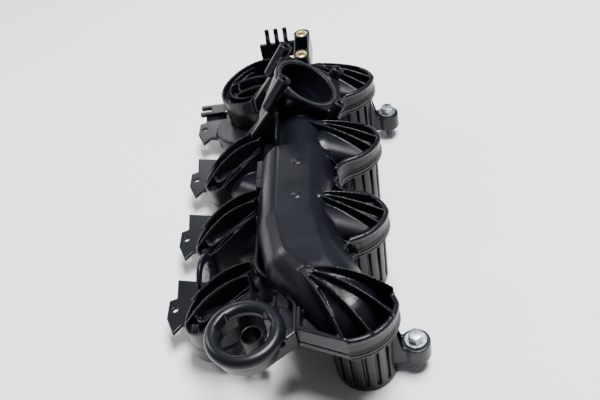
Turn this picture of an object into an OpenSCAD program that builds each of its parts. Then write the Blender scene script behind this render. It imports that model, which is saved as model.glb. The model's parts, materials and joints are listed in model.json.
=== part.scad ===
// Moulded plastic intake manifold for a four cylinder engine.
// Design frame: X across the row of ports, Y along the plenum, Z up, Z = 0 at the port faces.
// Stations count from the near end (low Y) to the throttle end (high Y).

/* [Ports] */
// Distance from one right hand port to the next
pitch = 90; // [84:1:110]
// Bore radius of each port
port_bore_r = 18; // [15:0.5:19]
// Outer radius of a port cup at its face
cup_low_r = 22.5; // [21.5:0.5:24]
// Outer radius of a port cup under the flange
cup_top_r = 24.5; // [24:0.5:27]
// Distance from the plenum axis to the row of cups
cup_x = 43; // [42:1:50]
// Number of upright slots round a cup
slot_count = 16; // [10:1:18]
// Width of one slot
slot_w = 3; // [2:0.2:4]
// Depth of one slot
slot_depth = 2; // [1:0.1:2.2]

/* [Welded flange] */
// Height of the weld seam above the port faces
seam_z = 62; // [58:1:68]
// Thickness of the lower flange plate
deck_t = 6; // [4:0.5:8]
// Height of the scalloped rim above the seam
rim_h = 16; // [10:1:20]
// Radius of one lobe of the scalloped rim
lobe_r = 35; // [32:0.5:37]
// Thickness of the scalloped rim
rim_t = 3; // [2:0.2:4]
// How far the rim falls from the near side of a lobe to the far side
rim_drop = 9; // [4:1:12]

/* [Plenum] */
// Outer radius of the plenum tube
plenum_r = 31; // [29:0.5:33]
// Height of the plenum axis above the port faces
plenum_z = 60; // [58:0.5:62]
// Height of the flat strip above the plenum axis
flat_top = 28; // [24:0.5:30]
// Wall of the plenum
wall = 2.5; // [2:0.1:3.5]
// Distance from the middle of the row to the far end of the plenum
plenum_far = 27; // [24:1:36]
// Distance from the middle of the row to the bend at the near end
plenum_near = 62; // [54:1:68]
// Thickness of a stiffening rib
rib_t = 1.8; // [1.2:0.1:3]

/* [Throttle] */
// Bore radius of the throttle opening
throttle_bore_r = 25; // [24:0.5:26.5]
// Lean of the throttle axis towards the ports
throttle_lean = 36; // [28:1:40]
// Pitch circle diameter of the throttle screws
throttle_pcd = 74; // [70:1:80]
// Pilot hole radius of a throttle screw
throttle_screw_r = 2.5; // [2:0.1:3]
// Outer radius of the neck between throttle and plenum
neck_r = 20.5; // [19:0.5:21.5]

/* [Left runners] */
// Distance from one left hand runner to the next
left_pitch = 78; // [74:1:84]
// Distance from the plenum axis to the left hand sockets
left_x = 66; // [62:1:72]
// Outer radius of a left hand socket
socket_r = 24; // [22:0.5:26]
// Outer radius of the duct that leads to it
duct_r = 17; // [14:0.5:18]
// Height of a left hand socket
socket_h = 32; // [28:1:40]

/* [Ears] */
// Distance from the plenum axis to the ear bolts
ear_x = 80; // [78:1:88]
// Distance of each ear bolt beyond its end port
ear_out = 1; // [0:0.5:6]
// Radius of an ear boss
ear_r = 10.5; // [9.5:0.5:13]
// Height of the washer seat above the port faces
seat_z = 26; // [22:1:32]
// Height of an ear boss
ear_h = 15; // [12:1:18]
// Radius of the bolt thread
bolt_r = 3; // [2.5:0.5:4]
// Radius of the washer
washer_r = 8; // [7:0.5:9]

/* [Filler collar] */
// Outer radius of the collar ring
collar_r = 27; // [24:0.5:30]
// Radius of the hole in the collar ring
collar_hole_r = 16; // [14:0.5:18]

/* [Fits] */
// Gap between moulded pieces that are welded or clipped side by side
side_gap = 0.2; // [0.1:0.05:0.4]
// Radial running clearance of a captive washer on the waisted shank of its bolt
washer_clearance = 0.1; // [0.05:0.01:0.1]
// Radial clearance of a bolt in its sleeve
bolt_clearance = 0.4; // [0.3:0.05:0.6]

/* [Hidden] */
stations = [1, 2, 3, 4];
$fn = 64;

plastic = "#23262b";
rubber = "#151515";
steel = "#b9bcc0";
brass = "#c9a45a";

// Places that follow from the driving dimensions
function station_y(i) = (i - 2.5) * pitch;
left_mid = 10;
last_shift = 14;
left_foot = 12;
function rim_z(dy) = rim_top - rim_drop * (dy / pitch + 0.5);
arc_step = 9;
function tab_y(i) = left_mid + (i - 2.5) * left_pitch;
function left_y(i) = tab_y(i) + (i == 4 ? last_shift : 0);
trough_x = -6;
trough_r = plenum_r - 4;
bend_x = 36;
duct_z = plenum_z - 14;
function duct_y(i) = max(-plenum_near - 6, min(left_y(i), plenum_far - duct_r - 2));
shoulder = 15;
skirt_z = 57;
tab_z = 19;
tab_t = 3;
seal_h = 2.4;
seal_w = 2;
lobe_x = cup_x - 7;
deck_z = seam_z - deck_t;
rim_top = seam_z + rim_h;
ear_y = 1.5 * pitch + ear_out;
boss_z = seat_z - ear_h;
roof_z = plenum_z + flat_top;
neck_x = 3;
neck_z = plenum_z + 6;
throttle_y = plenum_far + 66;
throttle_x = 13.5;
throttle_z = seam_z + 39;
flange_t = 5;
boss_r = 5.5;
boss_proud = 10;
boss_l = 34;
throat_l = 20;
skirt_l = 44;
elbow_r = 24;
neck_gap = 0.5;
plate_lip = 2.5;
plate_edge = 8.5;
lobe_cut = 9;
// A valley touches the lobes on both sides and keeps a set distance from the plenum
valley_half = (pitch + lobe_cut) / 2;
valley_reach = lobe_x + lobe_r - plenum_r - 2.56;
valley_x = lobe_x + (valley_half * valley_half - valley_reach * valley_reach) / (2 * valley_reach);
valley_r = norm([valley_x - lobe_x, valley_half]) - lobe_r;
collar_x = -33;
collar_y = -1.5 * pitch - 18;
tab_reach = 110;
insert_x = 5;
insert_y = 1.5 * pitch + 31;
insert_gap = 38;
insert_z = 86;
insert_r = 5.8;
insert_h = 12;
insert_thread_r = 3;
rim_split = -1.5 * pitch + (pitch - lobe_cut) / 2;
mark_x = 3;
mark_places = [-38, 2];
pocket_x = -46;
pocket_y = 166;
pocket_r = 35;
pocket_floor = 46;
pocket_top = 72;
pocket_foot = 14;
pocket_slope = 15;
web_gap = 6;
web_t = 3;
sleeve_r = bolt_r + bolt_clearance + 1.6;
lift_gap = 0.1;
washer_t = 1.6;
head_r = 5.6;
head_h = 5.6;
bolt_tip_z = 0.2;
thread_gap = 0.3;
shank_r = bolt_r - 0.5;
hook_y = insert_y + insert_gap + 3;
hook_t = 4.5;
window_back = 15;
window_mid = 22;
window_h = 22;
window_r = 12;
hood_x = 20;
hood_r = 19;
hood_back = 5;
ring_r = (collar_r - collar_hole_r) / 2 - 0.2;
ring_z = rim_top - 5.5;

// The origin is the middle of the footprint
foot_far = insert_y + insert_gap + insert_r + 2.2;
foot_near = collar_y - collar_r;
mid_x = (ear_x + ear_r - tab_reach) / 2;
mid_y = (foot_far + foot_near) / 2;

module placed() {
  translate([-mid_x, -mid_y, 0]) children();
}

// ---------- shared shapes ----------

module tube_y(r, y0, y1) {
  translate([0, y0, 0]) rotate([-90, 0, 0]) cylinder(r = r, h = y1 - y0);
}

// Thin upright plate from point a to point b with a top edge that arches between them
module arched_rib(a, b, foot, bulge) {
  run = norm([b[0] - a[0], b[1] - a[1]]);
  turn = atan2(b[1] - a[1], b[0] - a[0]);
  top = [for (t = [0 : 0.125 : 1]) [t * run, a[2] + (b[2] - a[2]) * t + bulge * 4 * t * (1 - t)]];
  translate([a[0], a[1], 0]) rotate([0, 0, turn]) rotate([90, 0, 0])
    translate([0, 0, -rib_t / 2]) linear_extrude(rib_t)
      polygon(concat([[0, foot]], top, [[run, foot]]));
}

// Upper half of the plenum, grown or shrunk by a margin: straight, then turned towards port 1
module plenum_form(margin) {
  r = plenum_r + margin;
  $fn = 36;
  translate([0, 0, plenum_z]) difference() {
    union() {
      hull() {
        tube_y(r, plenum_far + margin - 1, plenum_far + margin);
        translate([0, 12 - plenum_near, 0]) sphere(r);
      }
      hull() {
        translate([0, 12 - plenum_near, 0]) sphere(r);
        translate([bend_x / 5, -24 - plenum_near, 0]) sphere(r);
      }
      hull() {
        translate([bend_x / 5, -24 - plenum_near, 0]) sphere(r);
        translate([bend_x, station_y(1), 0]) sphere(r - 7);
      }
    }
    translate([-100, -300, flat_top + min(margin, 0)]) cube([200, 600, 50]);
    translate([-100, -300, -60]) cube([200, 600, 60]);
  }
}

// Lower half of the plenum, narrower so that it clears the cups
module trough_form(margin) {
  translate([trough_x, 0, plenum_z]) {
    tube_y(trough_r + margin, -plenum_near - 12, plenum_far + margin);
    translate([0, -plenum_near - 12, 0]) sphere(trough_r + margin);
  }
}

// Points of an arc round a centre
function arc(centre, r, from, to) = let (steps = ceil(abs(to - from) / arc_step)) [
  for (k = [0 : steps]) centre + r * [cos(from + (to - from) * k / steps), sin(from + (to - from) * k / steps)]
];

// Outline of the welded flange, drawn in by an inset: per lobe a near arc, a far arc and a valley
function lobe_points(i, inset) = let (
    y = station_y(i),
    lean = atan2(valley_half, valley_x - lobe_x),
    turn = asin(lobe_cut / 2 / (lobe_r - inset)),
    first = (i == 1) ? -90 : -lean,
    last = (i == 4) ? 90 : lean
  ) concat(
    arc([lobe_x, y], lobe_r - inset, first, -turn),
    arc([lobe_x, y - lobe_cut], lobe_r - inset, turn, last),
    (i == 4) ? [] : arc([valley_x, y + (pitch - lobe_cut) / 2], valley_r + inset, 180 + lean, 180 - lean)
  );

module flange_outline(inset) {
  near_y = station_y(1) - lobe_r + shoulder + inset;
  far_y = station_y(4) + lobe_r - lobe_cut - shoulder - inset;
  polygon(concat(
    [[inset + 2, near_y]],
    [for (i = stations) each lobe_points(i, inset)],
    [[inset + 2, far_y]]
  ));
}

// Plan of the plenum, where the rim gives way to it
module plenum_plan() {
  flank = plenum_r + 2 * side_gap;
  end_x = bend_x + lobe_r * 0.75;
  end_y = station_y(1) + lobe_r * 0.4;
  polygon([
    [-60, 300], [flank, 300], [flank, -plenum_near], [end_x, end_y],
    [20, end_y], [20, end_y - 13], [-60, end_y - 13]
  ]);
}

// Side view of the rim: it falls over each lobe and starts again at the next
module rim_fall() {
  steps = [for (i = stations) for (e = [0, 1]) [station_y(i) + (e - 0.5) * pitch, rim_z((e - 0.5) * pitch)]];
  rotate([90, 0, 90]) linear_extrude(200)
    polygon(concat([[-300, 0], [-300, rim_top]], steps, [[300, rim_top - rim_drop], [300, 0]]));
}

// Half turn bores from the plenum roof into the right hand hoods
module right_passages() {
  for (i = [2, 3]) translate([plenum_r - 14, station_y(i) - 10, seam_z]) rotate([0, 90, 0])
    cylinder(r = port_bore_r - 6, h = 30);
}

// Round openings from the plenum trough into the left hand runners
module left_passages() {
  for (i = [1, 2, 3]) translate([trough_x - trough_r + 12, duct_y(i), duct_z]) rotate([0, -90, 0])
    cylinder(r = duct_r - 6, h = 30);
}

// Everything below a height, for trimming
module below(z) {
  translate([-150, -300, z - 100]) cube([300, 600, 100]);
}

// ---------- main shells ----------

module upper_shell() color(plastic) placed() difference() {
  union() {
    plenum_form(0);
    clipped_fan(1);
    side_box();
    for (y = mark_places) translate([mark_x, y, roof_z]) cylinder(r = 2.4, h = 0.8);
  }
  plenum_form(-wall);
  neck_mouth();
  right_passages();
  below(seam_z);
}

// Scalloped wall that stands on the flange plate, between two places along the row
module rim(near, far) color(plastic) placed() difference() {
  intersection() {
    translate([0, 0, seam_z]) linear_extrude(rim_h) difference() {
      flange_outline(0);
      flange_outline(rim_t);
      plenum_plan();
      translate([-10, -plenum_near]) square([30, 300]);
    }
    rim_fall();
    translate([-50, near, 0]) cube([200, far - near, 200]);
  }
  throttle_room();
}

// The same plates, kept clear of the rim
module clipped_fan(i) {
  intersection() {
    rib_fan(i);
    translate([0, 0, seam_z]) linear_extrude(60) flange_outline(rim_t + side_gap);
  }
}

// Plates that fan out from the plenum to the rim at one station
module rib_fan(i) {
  y = station_y(i);
  edge = lobe_x + lobe_r;
  root = (i == 1) ? [8, y + 30, roof_z - 1] : [12, y + 13, roof_z - 3];
  tips = (i == 1) ? [[edge - 3, 6], [edge - 5, -16], [edge - 20, -29], [lobe_x - 3, -33]]
                  : [[edge - 6, 13], [edge - 3, -4], [edge - 9, -16]];
  for (tip = tips) arched_rib(root, [tip[0], y + tip[1], rim_z(tip[1]) - 0.5], seam_z, 3);
}

// Square locating box on the left flank of the plenum
module side_box() {
  translate([-plenum_r - 2, -8, seam_z]) difference() {
    cube([8, 34, 12]);
    translate([-1, 9, 4]) cube([6, 2, 9]);
  }
}

// Opening at the far end of the plenum where the neck enters
module neck_mouth() {
  translate([neck_x, 0, neck_z]) tube_y(neck_r - wall, plenum_far - 10, plenum_far + 10);
}

module lower_shell() color(plastic) placed() difference() {
  union() {
    difference() {
      trough_form(0);
      translate([-150, -300, seam_z]) cube([300, 600, 100]);
    }
    translate([0, 0, deck_z]) linear_extrude(deck_t) flange_outline(0);
    translate([-plenum_r, -plenum_near, deck_z]) cube([plenum_r + 2, plenum_near + plenum_far + 52, deck_t]);
  }
  trough_form(-wall);
  neck_mouth();
  neck_room();
  left_passages();
  for (i = stations) translate([cup_x, station_y(i), deck_z - 20]) cylinder(r = port_bore_r, h = 60);
}

// ---------- right hand cups ----------

module cup_slots() {
  for (k = [0 : slot_count - 1]) rotate([0, 0, k * 360 / slot_count])
    translate([cup_low_r - slot_depth, -slot_w / 2, 5]) cube([10, slot_w, deck_z - 9]);
}

// Ring shaped groove in a port face, and the seal that fills it
module face_ring(outer, depth) {
  difference() {
    cylinder(r = outer, h = depth);
    translate([0, 0, -1]) cylinder(r = outer - seal_w, h = depth + 2);
  }
}

module port_cup(i) {
  translate([cup_x, station_y(i), 0]) difference() {
    union() {
      difference() {
        cylinder(r1 = cup_low_r, r2 = cup_top_r, h = deck_z);
        cup_slots();
      }
      if (i == 1) ear(-1);
      if (i == 4) ear(1);
    }
    translate([-cup_x, -station_y(i), 0]) trough_form(side_gap);
    translate([-cup_x, -station_y(i), 0]) neck_room();
    translate([0, 0, -1]) cylinder(r = port_bore_r, h = deck_z + 2);
    translate([0, 0, -1]) face_ring(cup_low_r - seal_w / 2, seal_h + 1);
  }
}

// Ear with two webs that carries a captive bolt, seen from the cup axis
module ear(side) {
  arm = ear_x - cup_x;
  root = cup_low_r - 3;
  translate([0, side * ear_out, 0]) difference() {
    union() {
      translate([arm, 0, boss_z]) cylinder(r = ear_r, h = ear_h);
      for (s = [-1, 1]) translate([0, s * web_gap + web_t / 2, 0]) rotate([90, 0, 0]) linear_extrude(web_t)
        polygon([[root, boss_z], [arm, boss_z], [arm, seat_z - 1], [arm - ear_r + 1, seat_z - 1], [root + 1, deck_z]]);
      translate([root, -web_gap, boss_z]) cube([arm - root, 2 * web_gap, web_t]);
    }
    translate([arm, 0, boss_z - 1]) cylinder(r = sleeve_r, h = ear_h + 2);
    translate([arm, 0, seat_z]) cylinder(r = washer_r + 1, h = 40);
  }
}

module port_seal(i) {
  color(rubber) placed() translate([cup_x, station_y(i), 0]) face_ring(cup_low_r - seal_w / 2, seal_h);
}

// ---------- right hand hoods ----------

module hood_form(i, margin) {
  y = station_y(i);
  hull() {
    translate([hood_x, y - hood_back, seam_z]) sphere(hood_r + margin, $fn = 32);
    translate([cup_x - 4, y - 3, seam_z - 4]) sphere(port_bore_r - 2 + margin, $fn = 32);
    translate([cup_x, y, seam_z]) cylinder(r = port_bore_r + wall + margin, h = 4, $fn = 32);
  }
}

module runner_hood(i) {
  color(plastic) placed() difference() {
    union() {
      hood_form(i, 0);
      clipped_fan(i);
    }
    hood_form(i, -wall);
    translate([0, 0, plenum_z]) tube_y(plenum_r + side_gap, -plenum_near - 60, plenum_far + side_gap);
    if (i == 2) translate([0, 12 - plenum_near, plenum_z]) rotate([0, 0, atan2(bend_x / 5, 36)])
      tube_y(plenum_r + 2 * side_gap, -60, 0);
    if (i > 2) neck_room();
    if (i > 2) translate([neck_x, 0, neck_z]) tube_y(neck_r + side_gap, plenum_far - 5, plenum_far + 5);
    if (i > 2) throttle_room();
    below(seam_z);
  }
}

// ---------- throttle neck ----------

module throttle_axis() {
  translate([throttle_x, throttle_y, throttle_z]) rotate([0, throttle_lean, 0]) children();
}

module screw_places() {
  for (a = [45, 135, 225, 315]) rotate([0, 0, a]) translate([throttle_pcd / 2, 0, 0]) children();
}

// Elbow that turns up from the plenum to the leaning throttle face
module elbow(ball, top_r, top_z) {
  throttle_axis() translate([0, 0, -skirt_l]) hull() {
    sphere(ball, $fn = 36);
    translate([0, 0, skirt_l - top_z]) cylinder(r = top_r, h = 1, $fn = 72);
  }
}

// Space that the elbow and the neck need
module neck_room() {
  throttle_axis() translate([0, 0, -skirt_l])
    cylinder(r1 = elbow_r + neck_gap, r2 = throttle_bore_r + 4 + neck_gap, h = skirt_l - flange_t + 1);
  throttle_axis() translate([0, 0, -skirt_l]) sphere(elbow_r + neck_gap);
  translate([neck_x, 0, neck_z]) tube_y(neck_r + neck_gap, plenum_far + side_gap, throttle_y - 4);
}

module throttle_neck() color(plastic) placed() difference() {
  union() {
    elbow(elbow_r, throttle_bore_r + 4, flange_t);
    translate([neck_x, 0, neck_z]) tube_y(neck_r, plenum_far + side_gap, throttle_y - 4);
    throttle_axis() translate([0, 0, -flange_t]) cylinder(r = throttle_bore_r + 5, h = flange_t);
    throttle_axis() translate([0, 0, -flange_t]) intersection() {
      translate([-throttle_bore_r - plate_lip, -throttle_bore_r - 5, 0])
        cube([2 * throttle_bore_r + plate_lip + plate_edge, 2 * throttle_bore_r + 10, flange_t]);
      cylinder(r = throttle_pcd / 2 + 2, h = flange_t);
    }
    boss_webs();
    throttle_axis() screw_places() translate([0, 0, boss_proud - boss_l]) cylinder(r = boss_r, h = boss_l);
    throttle_axis() for (a = [45, 135, 225, 315]) rotate([0, 0, a])
      translate([throttle_bore_r + 2, -rib_t / 2, boss_proud - boss_l])
        cube([throttle_pcd / 2 - throttle_bore_r - 2, rib_t, boss_l - boss_proud]);
    neck_fin();
  }
  throttle_axis() translate([0, 0, -throat_l]) cylinder(r = throttle_bore_r, h = 60);
  elbow(elbow_r - wall, throttle_bore_r - 0.5, throat_l);
  throttle_axis() screw_places() translate([0, 0, boss_proud - 14]) cylinder(r = throttle_screw_r, h = 30);
  throttle_axis() translate([0, 0, -seal_h]) face_ring(throttle_bore_r + 4, seal_h + 1);
  translate([neck_x, 0, neck_z]) tube_y(neck_r - wall, plenum_far - 5, throttle_y - 8);
}

// Wide plates that run down from the two left hand screw bosses
module boss_webs() {
  for (a = [135, 225]) throttle_axis() rotate([0, 0, a]) rotate([90, 0, 0]) translate([0, 0, -rib_t / 2])
    linear_extrude(rib_t) polygon([
      [throttle_pcd / 2, boss_proud - 12], [throttle_pcd / 2, -24], [elbow_r, -54], [elbow_r - 4, -24]
    ]);
}

// Thin upright fin on the left of the neck
module neck_fin() {
  translate([neck_x - neck_r + 3, plenum_far + 1, neck_z + 6])
    cube([rib_t, throttle_y - plenum_far - 26, 22]);
}

// Space that the throttle flange and its bosses need
module throttle_room() {
  throttle_axis() translate([0, 0, -flange_t - 1]) cylinder(r = throttle_pcd / 2 + 3, h = 40);
  throttle_axis() screw_places() translate([0, 0, boss_proud - boss_l - 1])
    cylinder(r = boss_r + 0.5, h = 60);
  throttle_axis() for (a = [45, 135, 225, 315]) rotate([0, 0, a])
    translate([throttle_bore_r, -rib_t / 2 - side_gap, boss_proud - boss_l - side_gap])
      cube([throttle_pcd / 2 - throttle_bore_r, rib_t + 2 * side_gap, boss_l]);
}

module throttle_seal() color(rubber) placed() throttle_axis() translate([0, 0, -seal_h])
  face_ring(throttle_bore_r + 4, seal_h);

// ---------- left hand runners ----------

module duct_form(i, margin) {
  hull() {
    translate([-20, duct_y(i), duct_z]) sphere(duct_r + margin, $fn = 32);
    translate([-left_x + 4, left_y(i), socket_h - 2]) sphere(duct_r + 1 + margin, $fn = 32);
  }
}

// Side view that slopes from the plenum down to the outer edge
module slope_cut() {
  translate([0, 300, 0]) rotate([90, 0, 0]) linear_extrude(600)
    polygon([[-140, 0], [0, 0], [0, 78], [-plenum_r, 74], [-left_x - socket_r, 36], [-140, 36]]);
}

// Outline of one scroll: a half round about the socket that widens towards the plenum
module scroll_outline(i, r, reach) {
  c = [-left_x, left_y(i)];
  end_x = -plenum_r + 2 + reach;
  polygon(concat(arc(c, r, 90, 270), [[end_x, c[1] - 0.35 * r], [end_x, c[1] + 0.85 * r]]));
}

// Plan of one scroll wall, open towards the plenum
module scroll_plan(i, r) {
  c = [-left_x, left_y(i)];
  end_x = -plenum_r + 3;
  difference() {
    scroll_outline(i, r, 0);
    polygon(concat(
      arc(c, r - rib_t, 90, 270),
      [[end_x, c[1] - 0.35 * r + rib_t], [end_x, c[1] + 0.85 * r - rib_t]]
    ));
  }
}

// Spiral walls that rise from the socket towards the plenum
module scroll_walls(i) {
  intersection() {
    translate([0, 0, socket_h - 16]) linear_extrude(80) {
      scroll_plan(i, socket_r - 0.5);
      scroll_plan(i, socket_r - 11);
    }
    slope_cut();
  }
}

module left_runner(i) {
  x = -left_x;
  y = left_y(i);
  color(plastic) placed() difference() {
    union() {
      if (i < 4) duct_form(i, 0);
      translate([x, y, left_foot]) cylinder(r = socket_r, h = socket_h - left_foot - 6);
      if (i < 4) scroll_walls(i);
    }
    if (i < 4) duct_form(i, -wall);
    translate([x, y, left_foot - 1]) cylinder(r = port_bore_r - 2, h = (i < 4) ? 16 : 12);
    translate([x, y, left_foot - 1]) face_ring(socket_r - seal_w / 2, seal_h + 1);
    trough_form(side_gap);
    translate([-plenum_r - side_gap, -200, deck_z - side_gap]) cube([60, 400, 40]);
    below(left_foot);
  }
}

module left_seal(i) {
  color(rubber) placed() translate([-left_x, left_y(i), left_foot]) face_ring(socket_r - seal_w / 2, seal_h);
}

// Leaf shaped bracket with two lobes that stands out from a left hand socket
module left_tab(i) {
  y = tab_y(i);
  color(plastic) placed() difference() {
    translate([0, 0, tab_z]) linear_extrude(tab_t) polygon([
      [-left_x, y + 22], [-left_x - 14, y + 50], [-left_x - 40, y + 56], [-left_x - 38, y + 36],
      [-tab_reach, y + 34], [-tab_reach, y + 16], [-left_x - 37, y], [-left_x - 31, y + 8], [-left_x, y + 2]
    ]);
    translate([-left_x, left_y(i), 0]) cylinder(r = socket_r + side_gap, h = 60);
    translate([-left_x - 38, y + 24, 0]) cylinder(r = 2.2, h = 60);
    if (i < 4) translate([-left_x, left_y(i + 1), 0]) cylinder(r = socket_r + side_gap, h = 60);
    if (i == 4) translate([pocket_x, pocket_y, 0]) cylinder(r = pocket_r - 2.6, h = 60);
  }
}

// ---------- large pocket beside the throttle ----------

module far_pocket() color(plastic) placed() difference() {
  union() {
    translate([pocket_x, pocket_y, pocket_floor]) cylinder(r = pocket_r, h = pocket_top - pocket_floor);
    translate([pocket_x, pocket_y, pocket_foot])
      cylinder(r1 = pocket_r - 4, r2 = pocket_r, h = pocket_floor - pocket_foot);
  }
  difference() {
    translate([pocket_x, pocket_y, pocket_floor]) cylinder(r = pocket_r - wall, h = 60);
    for (k = [1, 2]) translate([pocket_x, pocket_y, 0]) difference() {
      cylinder(r = pocket_r - 9 * k, h = pocket_top - 3 * k);
      translate([0, 0, -1]) cylinder(r = pocket_r - 9 * k - rib_t, h = 100);
      translate([0, -100, -1]) cube([100, 200, 100]);
    }
  }
  translate([pocket_x, pocket_y, pocket_foot + 3])
    cylinder(r1 = pocket_r - 4 - wall, r2 = pocket_r - wall, h = pocket_floor - pocket_foot - 6);
  translate([-left_x, left_y(4), 0]) cylinder(r = socket_r + side_gap, h = socket_h - 6 + side_gap);
  translate([pocket_x + pocket_r, pocket_y - 60, pocket_top]) rotate([0, -pocket_slope, 0])
    translate([-150, 0, 0]) cube([200, 120, 60]);
  neck_room();
  throttle_room();
}

// ---------- brackets on the left and at the ends ----------

module harness_fork() {
  color(plastic) placed() translate([-left_x - 44, tab_y(4) + 44, tab_z + tab_t + side_gap]) difference() {
    cube([26, 16, 4]);
    translate([-1, 5, -1]) cube([12, 6, 6]);
  }
}

module window_bracket() color(plastic) placed() difference() {
  translate([-left_x - 14, left_y(1) + window_back, tab_z + tab_t]) rotate([0, 0, -8]) difference() {
    union() {
      cube([3, 2 * window_mid, window_h]);
      translate([0, window_mid, window_h]) rotate([0, 90, 0]) cylinder(r = window_r + 5, h = 3);
    }
    translate([-1, window_mid, window_h - 2]) rotate([0, 90, 0]) cylinder(r = window_r, h = 6);
  }
  for (i = [1, 2]) translate([-left_x, left_y(i), 0]) cylinder(r = socket_r + side_gap, h = 100);
}

// Plan of the near left flank of the plenum, with everything to its right
module plenum_flank() {
  side = [-0.87, -0.52];
  polygon([
    [bend_x / 5, -24 - plenum_near] + (plenum_r + side_gap) * side,
    [bend_x, station_y(1)] + (plenum_r - 7 + side_gap) * side,
    [100, station_y(1) - 0.5 * plenum_r], [100, -plenum_near], [-plenum_r, -plenum_near]
  ]);
}

// Skirt round the collar ring, and the wall that joins it to the rim
module collar_bracket() color(plastic) placed() difference() {
  union() {
    translate([collar_x, collar_y, skirt_z])
      cylinder(r1 = collar_r - 4, r2 = collar_r, h = rim_top - 6 - skirt_z);
    translate([0, 0, skirt_z]) linear_extrude(rim_top - 6 - skirt_z) polygon([
      [collar_x + 9, collar_y - collar_r + 5], [2 - side_gap, station_y(1) - lobe_r + shoulder],
      [2 - side_gap, station_y(1) + 10], [collar_x - 12, collar_y + collar_r + 12], [collar_x - 12, collar_y]
    ]);
  }
  translate([collar_x, collar_y, skirt_z - 1])
    cylinder(r1 = collar_r - 6.5, r2 = collar_r - 2.4, h = rim_top - 4 - skirt_z);
  translate([collar_x - 8, collar_y + 12, 0]) cube([26, 26, 100]);
  difference() {
    translate([0, 0, -1]) linear_extrude(100) polygon([
      [collar_x + 20, collar_y + 4], [-1, station_y(1) - lobe_r + shoulder + 4],
      [-1, station_y(1) + 7], [collar_x + 20, collar_y + collar_r + 9]
    ]);
    below(skirt_z + 3);
  }
  translate([0, 0, skirt_z - 1]) linear_extrude(60) {
    plenum_flank();
    scroll_outline(1, socket_r - 0.5 + 4 * side_gap, 2 * side_gap);
  }
  translate([-left_x, left_y(1), 0]) cylinder(r = socket_r + side_gap, h = 100);
  translate([collar_x, collar_y, ring_z - ring_r - side_gap]) cylinder(r = collar_r + 1 + side_gap, h = 40);
}

module collar_ring() color(plastic) placed() translate([collar_x, collar_y, ring_z]) difference() {
  rotate_extrude() translate([(collar_r + collar_hole_r) / 2 + 1, 0]) circle(ring_r);
  for (a = [30, 150, 270]) rotate([0, 0, a]) translate([collar_hole_r - 3, -6, -10]) cube([6.5, 12, 20]);
}

module breather_tube() color(plastic) placed() translate([collar_x - 2, collar_y + 20, 16]) difference() {
  cylinder(r = 8.5, h = 30);
  translate([0, 0, -1]) cylinder(r = 6.5, h = 32);
}

module insert_bracket() color(plastic) placed() difference() {
  union() {
    for (k = [0, 1]) translate([insert_x, insert_y + k * insert_gap, seam_z])
      cylinder(r = insert_r + 2.2, h = insert_z - seam_z);
    for (s = [-1, 1]) translate([insert_x + s * (insert_r + 0.7) - 1, insert_y, seam_z])
      cube([2, insert_gap, insert_z - seam_z]);
    translate([insert_x - insert_r - 2, station_y(4), seam_z])
      cube([2 * insert_r + 4, insert_y - station_y(4) + insert_gap, 4]);
  }
  for (k = [0, 1]) translate([insert_x, insert_y + k * insert_gap, insert_z - insert_h])
    cylinder(r = insert_r, h = insert_h + 1);
  translate([hood_x, station_y(4) - hood_back, 0]) cylinder(r = hood_r + 2 * side_gap, h = 100);
  neck_room();
}

module brass_insert(k) {
  color(brass) placed() translate([insert_x, insert_y + k * insert_gap, insert_z - insert_h]) difference() {
    cylinder(r = insert_r, h = insert_h);
    translate([0, 0, -1]) cylinder(r = insert_thread_r, h = insert_h + 2);
  }
}

// Row of three hooked fingers that holds a cable
module hook_comb() color(plastic) placed() {
  translate([insert_x - 44, hook_y - 4, seam_z]) cube([36, 4, 16]);
  for (k = [0 : 2]) translate([insert_x - 19 - 9 * k, hook_y - 4, seam_z + 12])
    rotate([90, 0, 90]) linear_extrude(hook_t)
    polygon([[0, 0], [4, 0], [4, 8], [7, 12], [7, 18], [4, 18], [4, 13], [0, 9]]);
}

// ---------- captive ear bolts ----------

module ear_sleeve(side) {
  color(steel) placed() translate([ear_x, side * ear_y, boss_z]) difference() {
    cylinder(r = sleeve_r, h = ear_h);
    translate([0, 0, -1]) cylinder(r = bolt_r + bolt_clearance, h = ear_h + 2);
  }
}

module ear_washer(side) {
  color(steel) placed() translate([ear_x, side * ear_y, seat_z + lift_gap]) difference() {
    cylinder(r = washer_r, h = washer_t);
    translate([0, 0, -1]) cylinder(r = shank_r + washer_clearance, h = washer_t + 2);
  }
}

module ear_bolt(side) {
  under_head = seat_z + 2 * lift_gap + washer_t;
  color(steel) placed() translate([ear_x, side * ear_y, 0]) {
    translate([0, 0, under_head]) cylinder(r = head_r, h = head_h, $fn = 6);
    translate([0, 0, bolt_tip_z]) cylinder(r = shank_r, h = under_head - bolt_tip_z + 0.5);
    translate([0, 0, bolt_tip_z]) cylinder(r = bolt_r, h = boss_z - thread_gap - bolt_tip_z);
  }
}

upper_shell();
lower_shell();
rim(-250, rim_split);  // rim_near
rim(rim_split, 250);  // rim_far
throttle_neck();
throttle_seal();
color(plastic) placed() port_cup(1);  // port_cup_1
color(plastic) placed() port_cup(2);  // port_cup_2
color(plastic) placed() port_cup(3);  // port_cup_3
color(plastic) placed() port_cup(4);  // port_cup_4
port_seal(1);  // port_seal_1
port_seal(2);  // port_seal_2
port_seal(3);  // port_seal_3
port_seal(4);  // port_seal_4
runner_hood(2);  // runner_hood_2
runner_hood(3);  // runner_hood_3
runner_hood(4);  // runner_hood_4
left_runner(1);  // left_runner_1
left_runner(2);  // left_runner_2
left_runner(3);  // left_runner_3
left_runner(4);  // left_runner_4
left_seal(1);  // left_seal_1
left_seal(2);  // left_seal_2
left_seal(3);  // left_seal_3
left_seal(4);  // left_seal_4
left_tab(1);  // left_tab_1
left_tab(2);  // left_tab_2
left_tab(3);  // left_tab_3
left_tab(4);  // left_tab_4
far_pocket();
harness_fork();
window_bracket();
collar_bracket();
collar_ring();
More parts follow.
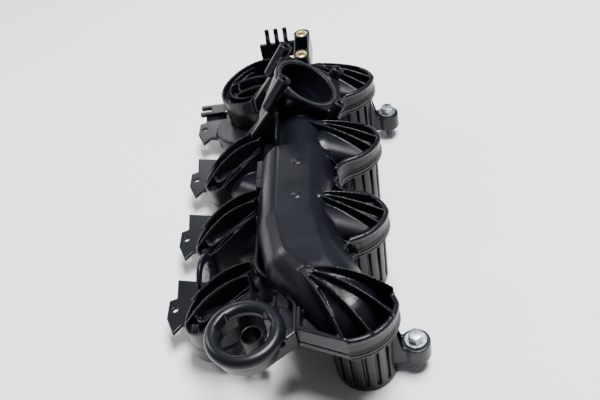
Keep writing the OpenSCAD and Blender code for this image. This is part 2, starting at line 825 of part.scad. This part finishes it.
breather_tube();
insert_bracket();
brass_insert(0);  // brass_insert_1
brass_insert(1);  // brass_insert_2
hook_comb();
ear_sleeve(-1);  // ear_sleeve_near
ear_sleeve(1);  // ear_sleeve_far
ear_washer(-1);  // ear_washer_near
ear_washer(1);  // ear_washer_far
ear_bolt(-1);  // ear_bolt_near
ear_bolt(1);  // ear_bolt_far
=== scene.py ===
# %% [markdown]
# Intake manifold, looks
# The frame is a imported CAD model of a moulded plastic intake manifold. Its nodes already have the right
# places and sizes, in metres, so this lesson only gives them a moulder's finish: rounded edges, weld beads,
# threads, grain and light. First the frame is loaded and its box is kept for placing the floor and the
# lights.

# %% Load the frame
import json
import math

import bmesh
import bpy
from mathutils import Matrix, Vector


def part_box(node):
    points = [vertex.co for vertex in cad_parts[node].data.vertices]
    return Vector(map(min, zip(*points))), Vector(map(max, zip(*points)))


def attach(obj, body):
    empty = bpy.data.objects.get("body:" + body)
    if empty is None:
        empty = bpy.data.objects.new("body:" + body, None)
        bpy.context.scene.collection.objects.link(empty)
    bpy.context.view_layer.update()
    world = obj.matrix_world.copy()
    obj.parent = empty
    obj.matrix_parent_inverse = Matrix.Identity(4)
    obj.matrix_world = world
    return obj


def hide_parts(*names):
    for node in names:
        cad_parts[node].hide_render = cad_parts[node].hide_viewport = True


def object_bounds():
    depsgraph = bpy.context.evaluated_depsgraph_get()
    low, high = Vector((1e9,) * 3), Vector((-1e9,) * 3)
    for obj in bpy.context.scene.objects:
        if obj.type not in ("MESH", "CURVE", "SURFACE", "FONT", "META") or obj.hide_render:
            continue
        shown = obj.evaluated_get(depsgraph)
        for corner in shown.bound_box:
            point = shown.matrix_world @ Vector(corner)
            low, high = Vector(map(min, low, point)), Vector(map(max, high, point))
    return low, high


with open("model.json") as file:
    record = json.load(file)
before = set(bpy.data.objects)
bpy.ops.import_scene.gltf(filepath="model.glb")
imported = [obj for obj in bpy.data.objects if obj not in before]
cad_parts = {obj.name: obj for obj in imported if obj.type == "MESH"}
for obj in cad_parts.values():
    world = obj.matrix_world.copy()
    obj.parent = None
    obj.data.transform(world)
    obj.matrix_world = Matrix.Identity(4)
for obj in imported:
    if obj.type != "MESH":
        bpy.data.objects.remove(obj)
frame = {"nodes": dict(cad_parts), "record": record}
cad_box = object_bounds()
MM = 0.001
print("CAD box in mm:", [round((b - a) / MM, 1) for a, b in zip(*cad_box)])

# %% [markdown]
# Finishes
# The real plastic is black glass filled nylon. It looks black, but its sheen is broad and cool, with a fine
# spark eroded grain and soft flow marks where the melt met. A flat black would look like a hole, so the
# colour is mixed from two near blacks by a slow noise, the gloss wanders with a second noise, and a very fine
# noise becomes the grain through a Bump node. Object coordinates keep each pattern in place.

# %% Node helpers
def new_finish(name):
    finish = bpy.data.materials.new(name)
    finish.use_nodes = True
    tree = finish.node_tree
    shader = tree.nodes["Principled BSDF"]
    place = tree.nodes.new("ShaderNodeTexCoord")
    return finish, tree, shader, place


def add_noise(tree, place, scale, detail=4.0, rough=0.55):
    node = tree.nodes.new("ShaderNodeTexNoise")
    node.inputs["Scale"].default_value = scale
    node.inputs["Detail"].default_value = detail
    node.inputs["Roughness"].default_value = rough
    tree.links.new(place.outputs["Object"], node.inputs["Vector"])
    return node


def add_ramp(tree, source, low, high, start=0.35, stop=0.65):
    ramp = tree.nodes.new("ShaderNodeValToRGB")
    ramp.color_ramp.elements[0].position = start
    ramp.color_ramp.elements[1].position = stop
    ramp.color_ramp.elements[0].color = (*low, 1) if len(low) == 3 else low
    ramp.color_ramp.elements[1].color = (*high, 1) if len(high) == 3 else high
    tree.links.new(source, ramp.inputs["Fac"])
    return ramp


def add_bump(tree, shader, source, strength, distance, before=None):
    bump = tree.nodes.new("ShaderNodeBump")
    bump.inputs["Strength"].default_value = strength
    bump.inputs["Distance"].default_value = distance
    tree.links.new(source, bump.inputs["Height"])
    if before:
        tree.links.new(before.outputs["Normal"], bump.inputs["Normal"])
    tree.links.new(bump.outputs["Normal"], shader.inputs["Normal"])
    return bump


print("helpers ready: finish, noise, ramp, bump")

# %% [markdown]
# Plastic first, because nearly everything you see is made of it. Two ramps share one idea: a noise picks a
# value between two ends, once for the colour and once for the gloss. Two bumps are chained, a slow one for
# the sink marks and a fine one for the grain.

# %% Moulded plastic
def make_plastic(name, dark, light, gloss):
    finish, tree, shader, place = new_finish(name)
    flow = add_noise(tree, place, 22, 2, 0.4)
    colour = add_ramp(tree, flow.outputs["Fac"], dark, light, 0.2, 0.8)
    tree.links.new(colour.outputs["Color"], shader.inputs["Base Color"])
    wander = add_noise(tree, place, 60, 2, 0.4)
    sheen = add_ramp(tree, wander.outputs["Fac"], (gloss - 0.05,) * 3, (gloss + 0.07,) * 3, 0.15, 0.85)
    tree.links.new(sheen.outputs["Color"], shader.inputs["Roughness"])
    shader.inputs["Specular IOR Level"].default_value = 0.22
    shader.inputs["IOR"].default_value = 1.5
    shader.inputs["Coat Weight"].default_value = 0.04
    shader.inputs["Coat Roughness"].default_value = 0.28
    sink = add_noise(tree, place, 35, 2, 0.5)
    slow = add_bump(tree, shader, sink.outputs["Fac"], 0.25, 1.2 * MM)
    grain = add_noise(tree, place, 2600, 2, 0.5)
    add_bump(tree, shader, grain.outputs["Fac"], 0.22, 0.12 * MM, slow)
    return finish


DEEP_BLACK = (0.0030, 0.0036, 0.0055)
COOL_BLACK = (0.0065, 0.0078, 0.0115)
plastic = make_plastic("black glass filled nylon", DEEP_BLACK, COOL_BLACK, 0.31)
print("made", plastic.name)

# %% [markdown]
# Rubber is dull, so one rough value is enough. Plated and machined metal has small cells of slightly
# different brightness, which a Voronoi texture gives, and its gloss varies with wear.

# %% Rubber, zinc and brass
def make_rubber():
    finish, tree, shader, place = new_finish("black seal rubber")
    bloom = add_noise(tree, place, 90)
    colour = add_ramp(tree, bloom.outputs["Fac"], (0.006, 0.006, 0.0065), (0.014, 0.014, 0.015))
    tree.links.new(colour.outputs["Color"], shader.inputs["Base Color"])
    shader.inputs["Roughness"].default_value = 0.7
    grain = add_noise(tree, place, 1800, 2)
    add_bump(tree, shader, grain.outputs["Fac"], 0.3, 0.1 * MM)
    return finish


def make_metal(name, low, high, gloss, scale):
    finish, tree, shader, place = new_finish(name)
    spangle = tree.nodes.new("ShaderNodeTexVoronoi")
    spangle.inputs["Scale"].default_value = scale
    tree.links.new(place.outputs["Object"], spangle.inputs["Vector"])
    colour = add_ramp(tree, spangle.outputs["Distance"], low, high, 0.1, 0.8)
    tree.links.new(colour.outputs["Color"], shader.inputs["Base Color"])
    wear = add_noise(tree, place, scale * 0.6, 5)
    sheen = add_ramp(tree, wear.outputs["Fac"], (gloss - 0.08,) * 3, (gloss + 0.12,) * 3)
    tree.links.new(sheen.outputs["Color"], shader.inputs["Roughness"])
    shader.inputs["Metallic"].default_value = 1.0
    scratch = add_noise(tree, place, 900, 3)
    add_bump(tree, shader, scratch.outputs["Fac"], 0.15, 0.05 * MM)
    return finish


rubber = make_rubber()
zinc = make_metal("zinc plated steel", (0.30, 0.32, 0.36), (0.46, 0.49, 0.54), 0.34, 420)
brass = make_metal("knurled brass", (0.50, 0.37, 0.16), (0.83, 0.68, 0.38), 0.34, 500)
finishes = {"plastic": plastic, "rubber": rubber, "steel": zinc, "brass": brass}
print("made", sorted(f.name for f in finishes.values()))

# %% [markdown]
# Moulded bodies
# Injection moulds have no sharp inside corners: the melt would not fill them, and they would crack. The CAD
# nodes do have sharp corners. Bevelling thousands of crossing rib edges one by one breaks down, so each group
# of welded nodes is copied, merged, voxel remeshed and then smoothed for a few rounds. That rounds every edge
# and fillets every rib foot by about one voxel, as a mould does. The copy then stands in for its nodes.

# %% Helper that copies nodes into one mesh
TRIANGLE_LIMIT = 185000
WELD_DISTANCE = 0.002 * MM


def copy_of(nodes):
    bm = bmesh.new()
    for node in nodes:
        bm.from_mesh(frame["nodes"][node].data)
    bmesh.ops.remove_doubles(bm, verts=bm.verts, dist=WELD_DISTANCE)
    return bm


def put_in_scene(bm, title):
    name = title.replace(" ", "_")
    mesh = bpy.data.meshes.new(name)
    bm.to_mesh(mesh)
    bm.free()
    piece = bpy.data.objects.new(name, mesh)
    bpy.context.scene.collection.objects.link(piece)
    return piece


def apply_modifiers(piece):
    graph = bpy.context.evaluated_depsgraph_get()
    done = bpy.data.meshes.new_from_object(piece.evaluated_get(graph))
    piece.modifiers.clear()
    piece.data = done


def count_triangles(mesh):
    return sum(len(p.vertices) - 2 for p in mesh.polygons)


print("a moulded piece may have", TRIANGLE_LIMIT, "triangles")

# %% [markdown]
# Two helpers end every piece. The first gives it its finish, hangs it on an empty named for the body it rides
# on and hides the nodes it stands in for. The second does the remesh, with a voxel size in millimetres: a
# small voxel keeps thin ribs, a large one rounds more. A piece that comes out too heavy is thinned to the
# limit.

# %% Helpers that finish and remesh
def finish_piece(piece, slot, body, nodes):
    piece.data.materials.clear()
    piece.data.materials.append(finishes[slot])
    for face in piece.data.polygons:
        face.use_smooth = True
    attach(piece, body)
    if nodes:
        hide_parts(*nodes)


def moulded(name, nodes, voxel=0.8, rounds=5, extra=None):
    bm = copy_of(nodes)
    if extra:
        extra(bm)
    piece = put_in_scene(bm, name)
    remesh = piece.modifiers.new("skin", "REMESH")
    remesh.mode = "VOXEL"
    remesh.voxel_size = voxel * MM
    soften = piece.modifiers.new("soften", "SMOOTH")
    soften.factor = 0.5
    soften.iterations = rounds
    apply_modifiers(piece)
    count = count_triangles(piece.data)
    if count > TRIANGLE_LIMIT:
        thin = piece.modifiers.new("thin", "DECIMATE")
        thin.ratio = TRIANGLE_LIMIT / count
        apply_modifiers(piece)
    finish_piece(piece, "plastic", "casing", nodes)
    print(name, "triangles", count_triangles(piece.data))


# %% [markdown]
# Weld beads and small ribs
# The two halves are vibration welded, and a bead of melt is squeezed out along the joint. The rim has a
# rolled lip on top as well. Both follow the same scalloped line, so the line is worked out once, as arcs
# about the port centres, and short rods are laid along it. The remesh then fuses rods and wall.

# %% Line of the scalloped flange
LOBE_SHIFT = 7 * MM
LOBE_RADIUS = 35 * MM
LOBE_CUT = 9 * MM
VALLEY_SHIFT = 14 * MM
RIM_DROP = 9 * MM
ports = [sum(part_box(f"port_seal_{i}"), Vector()) / 2 for i in (1, 2, 3, 4)]
pitch = ports[1].y - ports[0].y
seam_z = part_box("lower_shell")[1].z
rim_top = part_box("rim_near")[1].z
print("port pitch in mm:", round(pitch / MM, 1), "seam at", round(seam_z / MM, 1))


def arc(x, y, radius, start, stop):
    steps = math.ceil(abs(stop - start) / 7)
    turns = [math.radians(start + (stop - start) * k / steps) for k in range(steps + 1)]
    return [Vector((x + radius * math.cos(t), y + radius * math.sin(t), 0)) for t in turns]


def flange_line():
    half = (pitch + LOBE_CUT) / 2
    lean = math.degrees(math.atan2(half, VALLEY_SHIFT))
    valley = math.hypot(half, VALLEY_SHIFT) - LOBE_RADIUS
    turn = math.degrees(math.asin(LOBE_CUT / 2 / LOBE_RADIUS))
    line = []
    for k, port in enumerate(ports):
        x = port.x - LOBE_SHIFT
        line += arc(x, port.y, LOBE_RADIUS, -90 if k == 0 else -lean, -turn)
        line += arc(x, port.y - LOBE_CUT, LOBE_RADIUS, turn, 90 if k == 3 else lean)
        if k < 3:
            line += arc(x + VALLEY_SHIFT, port.y + (pitch - LOBE_CUT) / 2, valley, 180 + lean, 180 - lean)
    return line


def rim_height(y):
    k = (y - ports[0].y) / pitch + 0.5
    return rim_top - RIM_DROP * (k - math.floor(min(max(k, 0), 3.999)))


print("flange line has", len(flange_line()), "points")

# %% [markdown]
# Rods, plates and blades
# A rod is a short cylinder turned to lie along its way. A plate is a cube whose corners are moved, so that
# its top follows a slope and its foot stays level. A blade is a row of plates under an arched edge. All of
# them overlap what they grow from, because the remesh joins only what overlaps.

# %% Helpers that add rods and plates
def add_rod(bm, start, stop, radius):
    way = stop - start
    if way.length < 1e-6:
        return
    turn = way.to_track_quat("Z", "Y").to_matrix().to_4x4()
    place = Matrix.Translation((start + stop) / 2) @ turn
    bmesh.ops.create_cone(
        bm, cap_ends=True, segments=10, radius1=radius, radius2=radius,
        depth=way.length + radius, matrix=place,
    )


def add_bead(bm, line, radius):
    for start, stop in zip(line, line[1:]):
        add_rod(bm, start, stop, radius)


def add_plate(bm, start, stop, foot, thick=1.8):
    start, stop = Vector(start) * MM, Vector(stop) * MM
    run = Vector((stop.x - start.x, stop.y - start.y, 0))
    side = run.cross(Vector((0, 0, 1))).normalized() * thick * MM
    for corner in bmesh.ops.create_cube(bm, size=1)["verts"]:
        along, across, rise = corner.co.x + 0.5, corner.co.y, corner.co.z + 0.5
        top = start.lerp(stop, along)
        corner.co = Vector((top.x, top.y, foot * MM + (top.z - foot * MM) * rise)) + side * across


PLATE_OVERLAP = 1.15


def add_blade(bm, root, tip, foot, bulge, thick=1.7, steps=10):
    root, tip = Vector(root), Vector(tip)

    def edge(t):
        point = root.lerp(tip, t)
        point.z += bulge * 4 * t * (1 - t)
        return point

    for k in range(steps):
        add_plate(bm, edge(k / steps), edge((k + PLATE_OVERLAP) / steps), foot, thick)


print("helpers ready: rod, bead, plate, blade")

# %% [markdown]
# Upper moulding
# The first lobe carries a fan of four blades, and three short blades stand in the valleys. They are written
# in millimetres from the middle of the part, which is easier to read than metres.

# %% Beads and ribs of the upper moulding
BLADE_FOOT = 62
BEAD_LIFT, BEAD_RADIUS = 0.6 * MM, 1.0 * MM
LIP_DROP, LIP_RADIUS = 1.1 * MM, 1.15 * MM
LONGEST_STEP = 12 * MM
FAN_TIPS = [(25, 5), (23, -16), (8, -29), (-10, -31)]
VALLEY_BLADES = [((27, 7, 81), (47, -5, 67)), ((27, -20, 81), (45, -29, 66)), ((31, -90, 80), (56, -97, 67))]


def upper_details(bm):
    first = ports[0] / MM
    for across, along in FAN_TIPS:
        add_blade(bm, (15, first.y + 25, 84.5), (first.x + across, first.y + along, 79), BLADE_FOOT, 10)
    for root, tip in VALLEY_BLADES:
        add_blade(bm, root, tip, BLADE_FOOT, 4)
    outline = [p for p in flange_line() if p.x > ports[0].x - 12 * MM]
    for near, far in zip(outline, outline[1:]):
        if (far - near).length > LONGEST_STEP:
            continue
        a, b = near.copy(), far.copy()
        a.z = b.z = seam_z + BEAD_LIFT
        add_rod(bm, a, b, BEAD_RADIUS)
        a, b = near.copy(), far.copy()
        a.z, b.z = rim_height(near.y) - LIP_DROP, rim_height(far.y) - LIP_DROP
        if abs(a.z - b.z) < 2 * MM:
            add_rod(bm, a, b, LIP_RADIUS)


print("blades on the upper moulding:", len(FAN_TIPS) + len(VALLEY_BLADES))

# %% Upper moulding: plenum roof, rim and hoods
upper_nodes = ["upper_shell", "rim_near", "rim_far", "runner_hood_2", "runner_hood_3", "runner_hood_4"]
moulded("upper moulding", upper_nodes, 0.85, 5, upper_details)


# %% [markdown]
# Lower moulding
# The lower flange shows two beads, one just under the seam and one at its lower edge, so the whole flange
# line is laid twice at two heights. The slotted cups under it are separate pieces with a finer voxel.

# %% Beads of the lower moulding
BEAD_DROPS = (1.2 * MM, 5.2 * MM)


def lower_details(bm):
    line = flange_line()
    for drop in BEAD_DROPS:
        level = [Vector((p.x, p.y, seam_z - drop)) for p in line]
        add_bead(bm, level, 1.1 * MM)


print("beads on the lower flange:", len(BEAD_DROPS))

# %% Lower moulding and cups
moulded("lower moulding", ["lower_shell"], 0.9, 4, lower_details)
for i in (1, 2, 3, 4):
    moulded(f"port cup {i}", [f"port_cup_{i}"], 0.7, 3)

# %% [markdown]
# Left hand scrolls
# Each left hand duct is stiffened by leaf shaped blades that sweep from the plenum down to the socket. A
# blade is a row of short upright plates under an arched edge, fused to the duct by the same remesh.

# %% Left runners and bracket tabs
LEAF_REACH, LEAF_SPREAD = 0.8, 0.9
LEAVES = [((19, 74), (-24, 20, 40), 7), ((5, 75), (-27, -3, 38), 9), ((-9, 72), (-14, -21, 38), 5)]


def make_left_runner(i):
    socket = sum(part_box(f"left_seal_{i}"), Vector()) / 2 / MM

    def leaves(bm):
        for (along, top), (across, aside, low), bulge in LEAVES:
            tip = (socket.x + across * LEAF_REACH, socket.y + aside * LEAF_SPREAD, low)
            add_blade(bm, (-23, socket.y + along, top), tip, 34, bulge, 1.6)

    moulded(f"left runner {i}", [f"left_runner_{i}"], 0.8, 4, leaves if i < 4 else None)


for i in (1, 2, 3, 4):
    make_left_runner(i)
    moulded(f"bracket tab {i}", [f"left_tab_{i}"], 0.6, 2)

# %% [markdown]
# Throttle neck, pocket and brackets
# The two left bosses of the throttle flange stand on thick plates, and the far pocket holds two long
# blades. The small brackets need no extra ribs, only a voxel fine enough for their thin walls.

# %% Throttle neck, pocket and brackets
BOSS_LINES = (50.8, 103.2)


def neck_details(bm):
    for y in BOSS_LINES:
        add_plate(bm, (-3, y, 106), (-31, y, 73), 60, 8)
        add_plate(bm, (-14, y + 3, 92), (-36, y + 3, 70), 52, 2)


def pocket_details(bm):
    add_blade(bm, (-9, 138, 70), (-60, 158, 55), 46, 6)
    add_blade(bm, (-12, 126, 70), (-58, 136, 55), 46, 6)


moulded("throttle neck", ["throttle_neck"], 0.75, 4, neck_details)
moulded("far pocket", ["far_pocket"], 0.8, 4, pocket_details)
moulded("collar", ["collar_bracket", "collar_ring"], 0.7, 4)
moulded("window bracket", ["window_bracket"], 0.6, 2)
moulded("harness fork", ["harness_fork"], 0.5, 2)
moulded("breather tube", ["breather_tube"], 0.6, 2)
moulded("insert bracket", ["insert_bracket"], 0.6, 2)
moulded("hook comb", ["hook_comb"], 0.45, 2)

# %% [markdown]
# Hardware
# Turned and pressed metal stays crisp, so it isn't remeshed. A lathe is the natural way to make it: half a
# section is drawn beside the axis and spun round it. The hexagon of the bolt head is a six sided cone with
# its edges bevelled, because a spin can't give it corners.

# %% Lathe helpers
def lathe(section, centre, steps=64, ring=True):
    bm = bmesh.new()
    corners = [bm.verts.new((r * MM, 0, z * MM)) for r, z in section]
    pairs = list(zip(corners, corners[1:])) + ([(corners[-1], corners[0])] if ring else [])
    edges = [bm.edges.new(pair) for pair in pairs]
    bmesh.ops.spin(
        bm, geom=corners + edges, cent=(0, 0, 0), axis=(0, 0, 1), angle=math.tau, steps=steps,
        use_merge=True, use_duplicate=False, dvec=(0, 0, 0),
    )
    bmesh.ops.remove_doubles(bm, verts=bm.verts, dist=0.001 * MM)
    bmesh.ops.recalc_face_normals(bm, faces=bm.faces)
    bmesh.ops.translate(bm, verts=bm.verts, vec=centre)
    return bm


def middle_of(node):
    low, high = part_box(node)
    return Vector(((low.x + high.x) / 2, (low.y + high.y) / 2, low.z)), high - low


def shade_by_angle(piece, degrees=35):
    piece.data.set_sharp_from_angle(angle=math.radians(degrees))


print("near bolt stands on", [round(c / MM, 1) for c in middle_of("ear_bolt_near")[0]])

# %% [markdown]
# Ear bolts
# The shank is thinner than the thread, so the washer can't fall off. The thread is drawn as rings of crests
# and roots, which look the same as a helix at this size, and it stops below the waist of the shank.

# %% Ear bolts
HEAD_HEIGHT = 5.6
SHANK, CREST, ROOT = 2.5, 3.0, 2.55
THREAD_TURNS = 9


def make_bolt(end):
    node = f"ear_bolt_{end}"
    foot, size = middle_of(node)
    length, reach = size.z / MM, size.x / MM / 2
    section = [(0, 0), (1.9, 0), (ROOT, 0.9)]
    for k in range(THREAD_TURNS):
        section += [(CREST, 1.4 + k), (ROOT, 1.9 + k)]
    flange = length - HEAD_HEIGHT
    section += [(SHANK, 10.4), (SHANK, flange - 0.3), (reach * 0.86, flange), (reach * 0.86, flange + 0.5)]
    section += [(0, flange + 0.5)]
    bm = lathe(section, foot, 48, ring=False)
    hexagon = bmesh.ops.create_cone(
        bm, cap_ends=True, segments=6, radius1=reach * MM, radius2=reach * MM, depth=HEAD_HEIGHT * MM,
        matrix=Matrix.Translation(foot + Vector((0, 0, (length - HEAD_HEIGHT / 2) * MM))),
    )
    rims = {e for v in hexagon["verts"] for e in v.link_edges}
    bmesh.ops.bevel(
        bm, geom=list(rims), offset=0.45 * MM, offset_type="OFFSET", segments=3, profile=0.5,
        affect="EDGES", material=-1, clamp_overlap=True,
    )
    piece = put_in_scene(bm, f"bolt {end}")
    finish_piece(piece, "steel", f"bolt_{end}", [node])
    shade_by_angle(piece)
    print(piece.name, "length in mm", round(length, 1))


for end in ("near", "far"):
    make_bolt(end)

# %% [markdown]
# Washers, sleeves and seals
# A ring is one small section spun round, with a chamfer at each corner. The seals use the same lathe, with a
# narrow sealing lip on the lower face.

# %% Washers and sleeves
def make_ring(node, body, slot, hole, edge=0.35):
    foot, size = middle_of(node)
    r, h = size.x / MM / 2, size.z / MM
    section = [
        (hole, edge), (hole + edge, 0), (r - edge, 0), (r, edge),
        (r, h - edge), (r - edge, h), (hole + edge, h), (hole, h - edge),
    ]
    piece = put_in_scene(lathe(section, foot), f"{node} turned")
    finish_piece(piece, slot, body, [node])
    shade_by_angle(piece)
    print(piece.name, "outer radius in mm", round(r, 2))


WASHER_HOLE, SLEEVE_HOLE = 2.62, 3.4
for end in ("near", "far"):
    make_ring(f"ear_washer_{end}", f"washer_{end}", "steel", WASHER_HOLE)
    make_ring(f"ear_sleeve_{end}", "casing", "steel", SLEEVE_HOLE)


# %% Seals
def make_seal(node, width=2.0):
    foot, size = middle_of(node)
    r, h = size.x / MM / 2, size.z / MM
    m = r - width / 2
    section = [
        (r - width, 0.7), (m - 0.6, 0.5), (m - 0.25, 0.05), (m + 0.25, 0.05), (m + 0.6, 0.5), (r, 0.7),
        (r, h - 0.3), (r - 0.3, h), (r - width + 0.3, h), (r - width, h - 0.3),
    ]
    piece = put_in_scene(lathe(section, foot), f"{node} turned")
    finish_piece(piece, "rubber", "casing", [node])
    print(piece.name, "outer radius in mm", round(r, 2))


for i in (1, 2, 3, 4):
    make_seal(f"port_seal_{i}")
    make_seal(f"left_seal_{i}")

# %% [markdown]
# Brass inserts
# Each insert has a threaded bore and a collar with notches. The notches are made by lowering every second
# sector of the collar's top by half a millimetre.

# %% Brass inserts with a thread and a notched collar
NOTCH_DEPTH = 0.5 * MM
NOTCH_SECTOR = 30


def make_insert(node):
    foot, size = middle_of(node)
    r, h = size.x / MM / 2, size.z / MM
    section = [(3.0, 0.4), (3.4, 0)]
    section += [(r - 0.5, 0), (r - 0.5, h - 2.2), (r, h - 1.8), (r, h - 0.25), (r - 0.3, h)]
    section += [(4.0, h), (3.4, h - 0.6)]
    for k in range(8):
        section += [(3.35, h - 1.2 - k), (3.0, h - 1.7 - k)]
    bm = lathe(section, foot, 48)
    top = foot.z + size.z
    for corner in bm.verts:
        out = Vector((corner.co.x - foot.x, corner.co.y - foot.y))
        sector = int(math.degrees(math.atan2(out.y, out.x)) % 360 / NOTCH_SECTOR)
        if corner.co.z > top - 0.3 * MM and out.length > 5.0 * MM and sector % 2:
            corner.co.z -= NOTCH_DEPTH
    piece = put_in_scene(bm, f"{node} turned")
    finish_piece(piece, "brass", "casing", [node])
    shade_by_angle(piece)
    print(piece.name, "height in mm", round(h, 1))


make_insert("brass_insert_1")
make_insert("brass_insert_2")

# %% [markdown]
# Nodes that stay
# A node that no piece stands in for is shown as it is, so every node gets the finish its slot names.

# %% Finishes on the nodes that stay
for sub in frame["record"]["subparts"]:
    node = frame["nodes"][sub["node"]]
    node.data.materials.clear()
    node.data.materials.append(finishes[sub["material_slot"]])

# %% [markdown]
# Floor, light and camera
# The manifold lies on a pale sheet. One large soft box hangs overhead, and two weaker ones stand at the left
# and behind, so the black plastic shows long soft highlights.

# %% Stage
lo, hi = cad_box


def add_floor():
    bm = bmesh.new()
    bmesh.ops.create_grid(bm, x_segments=1, y_segments=1, size=4.0)
    bmesh.ops.translate(bm, verts=bm.verts, vec=(0, 0, lo.z - 0.3 * MM))
    floor = put_in_scene(bm, "pale floor")
    finish, tree, shader, place = new_finish("pale sheet")
    tone = add_noise(tree, place, 3)
    colour = add_ramp(tree, tone.outputs["Fac"], (0.86, 0.865, 0.87), (0.90, 0.90, 0.905))
    tree.links.new(colour.outputs["Color"], shader.inputs["Base Color"])
    shader.inputs["Roughness"].default_value = 0.8
    floor.data.materials.append(finish)


def add_soft_box(name, place, aim, size, power):
    data = bpy.data.lights.new(name, "AREA")
    data.shape = "RECTANGLE"
    data.size, data.size_y = size
    data.energy = power
    box = bpy.data.objects.new(name, data)
    bpy.context.scene.collection.objects.link(box)
    box.location = place
    box.rotation_mode = "QUATERNION"
    box.rotation_quaternion = (Vector(aim) - Vector(place)).to_track_quat("-Z", "Y")


add_floor()
middle = (lo + hi) / 2
add_soft_box("overhead box", (0.35, 0.1, 1.6), middle, (0.8, 0.6), 78)
add_soft_box("left box", (-1.3, 0.5, 0.9), middle, (0.35, 0.7), 12)
add_soft_box("back box", (-0.5, 1.6, 0.9), middle, (0.4, 0.25), 5)
world = bpy.data.worlds.new("studio")
bpy.context.scene.world = world
world.use_nodes = True
world.node_tree.nodes["Background"].inputs["Color"].default_value = (0.95, 0.97, 1.0, 1)
world.node_tree.nodes["Background"].inputs["Strength"].default_value = 0.13

# %% [markdown]
# Camera
# The camera looks down from the near end and a little from the right. Its turn is built from the direction
# to the right and the direction ahead, made square to each other first.

# %% Camera
eye = Vector((0.0814, -0.4823, 0.4708))
right = Vector((0.987, 0.009, -0.159)).normalized()
ahead = Vector((-0.114, 0.736, -0.667))
ahead = (ahead - right * ahead.dot(right)).normalized()
up = right.cross(ahead)
camera_data = bpy.data.cameras.new("camera")
camera_data.sensor_width = 36
camera_data.lens = 45.7
camera = bpy.data.objects.new("camera", camera_data)
bpy.context.scene.collection.objects.link(camera)
camera.rotation_mode = "QUATERNION"
camera.rotation_quaternion = Matrix((right, up, -ahead)).transposed().to_quaternion()
camera.location = eye
bpy.context.scene.camera = camera
print("camera looks along", [round(a, 3) for a in ahead])
